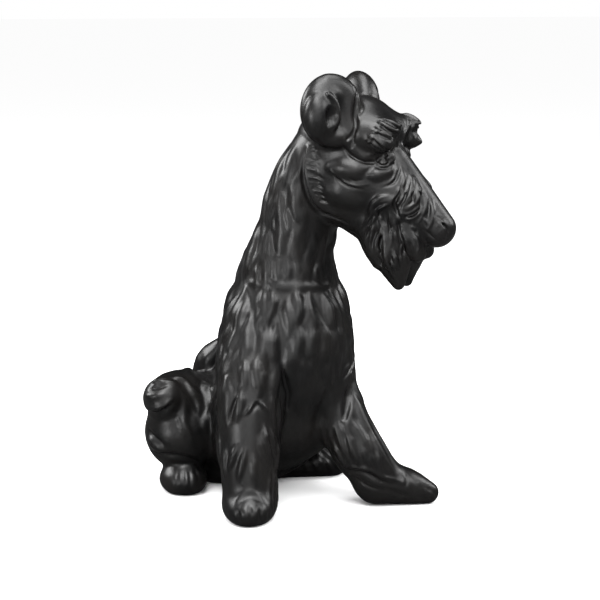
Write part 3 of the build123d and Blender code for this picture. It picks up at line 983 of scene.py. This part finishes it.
def body_piece(name, clay, part):
    """A closed mesh of one piece, with the whole casting's normals."""
    s = resample(part, clay)
    reach = OVERLAP*clay.step
    d = np.maximum(clay.d + SINK*np.maximum(s, 0), s - reach)
    win = crop(d < 0)
    cell = Clay(clay.low, clay.low, clay.step)
    cell.axes = [a[w] for a, w in zip(clay.axes, win)]
    cell.low = np.array([a[0] for a in cell.axes])
    cell.d = d[win].copy()
    for ax in range(3):  # closed even where the grid ends
        edge = [slice(None)]*3
        for end in (0, -1):
            edge[ax] = end
            cell.d[tuple(edge)] = np.maximum(cell.d[tuple(edge)], 0.3*clay.step)
    verts, quads = surface_nets(cell)
    mesh = bpy.data.meshes.new(name)
    mesh.vertices.add(len(verts))
    mesh.vertices.foreach_set("co", ((verts - MIDDLE)/1000).astype(np.float32).ravel())
    mesh.loops.add(len(quads)*4)
    mesh.loops.foreach_set("vertex_index", quads.astype(np.int32).ravel())
    mesh.polygons.add(len(quads))
    mesh.polygons.foreach_set("loop_start", np.arange(0, len(quads)*4, 4, dtype=np.int32))
    mesh.update(calc_edges=True)
    mesh.validate()
    mesh.shade_smooth()
    mesh.normals_split_custom_set_from_vertices(clay.slope(verts).astype(np.float32))
    piece = bpy.data.objects.new(name, mesh)
    bpy.context.scene.collection.objects.link(piece)
    return piece


def casting(low, high, step, skins):
    """The whole figurine inside a box, with its hair, on a grid of its own."""
    clay = base(step, low, high)
    coat(clay, skins)
    d = clay.d  # a glaze's softening of every edge
    for ax in range(3):
        d = (np.roll(d, 1, ax) + 2*d + np.roll(d, -1, ax))/4
    clay.d = np.where(np.abs(clay.d) < GLAZED, d, clay.d)
    clay.keep_above(0)
    return clay


def glaze():
    """Black stoneware glaze: satin, faintly uneven, with an orange-peel skin."""
    mat = bpy.data.materials.new("black_glaze")
    mat.use_nodes = True
    nodes, links = mat.node_tree.nodes, mat.node_tree.links
    shader = nodes["Principled BSDF"]
    shader.inputs["Specular IOR Level"].default_value = GLOSS
    coordinates = nodes.new("ShaderNodeTexCoord")

    def noise(scale, detail, rough=0.55):
        n = nodes.new("ShaderNodeTexNoise")
        n.inputs["Scale"].default_value = scale
        n.inputs["Detail"].default_value = detail
        n.inputs["Roughness"].default_value = rough
        links.new(coordinates.outputs["Object"], n.inputs["Vector"])
        return n

    def times(source, factor):
        """A multiply-add whose third input is still free."""
        node = nodes.new("ShaderNodeMath")
        node.operation = "MULTIPLY_ADD"
        node.inputs[1].default_value = factor
        links.new(source.outputs["Fac"], node.inputs[0])
        return node

    # the glaze lies thick and thin
    colour = nodes.new("ShaderNodeValToRGB")
    for stop, position, shade in zip(colour.color_ramp.elements, (0.35, 0.65), GLAZE_COLOURS):
        stop.position = position
        stop.color = (*shade, 1)
    links.new(noise(38, 5).outputs["Fac"], colour.inputs["Fac"])
    links.new(colour.outputs["Color"], shader.inputs["Base Color"])
    # its sheen drifts
    haze = times(noise(120, 6, 0.65), HAZE)
    haze.inputs[2].default_value = ROUGHNESS - HAZE/2
    links.new(haze.outputs[0], shader.inputs["Roughness"])
    # orange peel with pits
    peel = times(noise(1900, 2), 0.3)
    links.new(noise(520, 3).outputs["Fac"], peel.inputs[2])
    bump = nodes.new("ShaderNodeBump")
    bump.inputs["Strength"].default_value = 0.25
    bump.inputs["Distance"].default_value = 0.0003
    links.new(peel.outputs[0], bump.inputs["Height"])
    links.new(bump.outputs["Normal"], shader.inputs["Normal"])
    return mat


skins = full_skin()
parts = owners(OWNER_STEP)
figure = casting(LOW, (HIGH[0], HIGH[1], BODY_TOP), BODY_STEP, skins)
top = casting(HEAD_LOW, HEAD_HIGH, HEAD_STEP, skins)
black = glaze()
for name in MAKERS:
    clay = top if name in HEAD_PIECES else figure
    piece = body_piece(name + "_glazed", clay, share(parts, name))
    piece.data.materials.append(black)
    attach(piece, "root")
    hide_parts(name)

# ---------------- stage
STUDIO_TARGET = (0, -0.0154, 0.13)  # what the lamps point at
HALF_FLOOR = 40


def darker_in_glaze(tree, kind, seen, mirrored, output):
    """A grey as the camera sees it, and the darker one that keeps it out of the glaze."""
    path = tree.nodes.new("ShaderNodeLightPath")
    pick = tree.nodes.new("ShaderNodeMixShader")
    tree.links.new(path.outputs["Is Glossy Ray"], pick.inputs[0])
    for slot, grey in ((1, seen), (2, mirrored)):
        shader = tree.nodes.new(kind)
        shader.inputs["Color"].default_value = (grey, grey, grey, 1)
        tree.links.new(shader.outputs[0], pick.inputs[slot])
    tree.links.new(pick.outputs[0], output)


def aim(thing, azimuth, elevation, distance, target):
    """Link a lamp or camera that looks at the target; azimuth 0 is in front of the dog's chest,
    positive to its left."""
    a, e = math.radians(azimuth), math.radians(elevation)
    outward = Vector((math.sin(a)*math.cos(e), -math.cos(a)*math.cos(e), math.sin(e)))
    thing.location = Vector(target) + outward*distance
    thing.rotation_mode = "QUATERNION"
    thing.rotation_quaternion = (-outward).to_track_quat("-Z", "Y")
    bpy.context.scene.collection.objects.link(thing)


def softbox(name, azimuth, elevation, distance, size, watts, target=STUDIO_TARGET, spread=180):
    """A square lamp, in degrees, metres and watts."""
    light = bpy.data.lights.new(name, "AREA")
    light.size, light.energy, light.spread = size, watts, math.radians(spread)
    aim(bpy.data.objects.new(name, light), azimuth, elevation, distance, target)


ground = bpy.data.meshes.new("ground")
corners = [(-1, -1), (1, -1), (1, 1), (-1, 1)]
ground.from_pydata([(x*HALF_FLOOR, y*HALF_FLOOR, 0) for x, y in corners], [], [(0, 1, 2, 3)])
floor = bpy.data.objects.new("ground", ground)
bpy.context.scene.collection.objects.link(floor)
paper = bpy.data.materials.new("paper")
paper.use_nodes = True
nodes = paper.node_tree.nodes
nodes.remove(nodes["Principled BSDF"])
surface = nodes["Material Output"].inputs["Surface"]
darker_in_glaze(paper.node_tree, "ShaderNodeBsdfDiffuse", 0.97, 0.05, surface)
ground.materials.append(paper)
floor.location.z = CAD_BOX[0].z

world = bpy.data.worlds.new("studio")
bpy.context.scene.world = world
world.use_nodes = True
nodes = world.node_tree.nodes
nodes.remove(nodes["Background"])
darker_in_glaze(world.node_tree, "ShaderNodeBackground", 1, 0.02, nodes["World Output"].inputs[0])

softbox("key", -52, 58, 1.2, 0.5, 9.5)
softbox("front", -26, 44, 1.25, 0.62, 8)
softbox("top", -20, 86, 1.1, 0.8, 14)
softbox("chest", 20, 36, 1.25, 0.5, 7)
softbox("beside_camera", -34, 12, 1.5, 1.2, 7.5)
softbox("low_left", -84, 12, 1.4, 0.5, 2)
softbox("rim_right_side", -140, 30, 1.3, 0.5, 12)
softbox("rim_left_side", 70, 30, 1.3, 0.5, 8)
softbox("beard", -76, 0, 0.9, 0.35, 0.15, target=(0.045, -0.05, 0.17), spread=30)

camera_data = bpy.data.cameras.new("camera")
camera = bpy.data.objects.new("camera", camera_data)
bpy.context.scene.camera = camera
camera_data.lens = 100
camera_data.sensor_width = 36
aim(camera, -32, 10, 1.103, (0, -0.0154, 0.1377))

bpy.context.scene.view_settings.view_transform = "Standard"
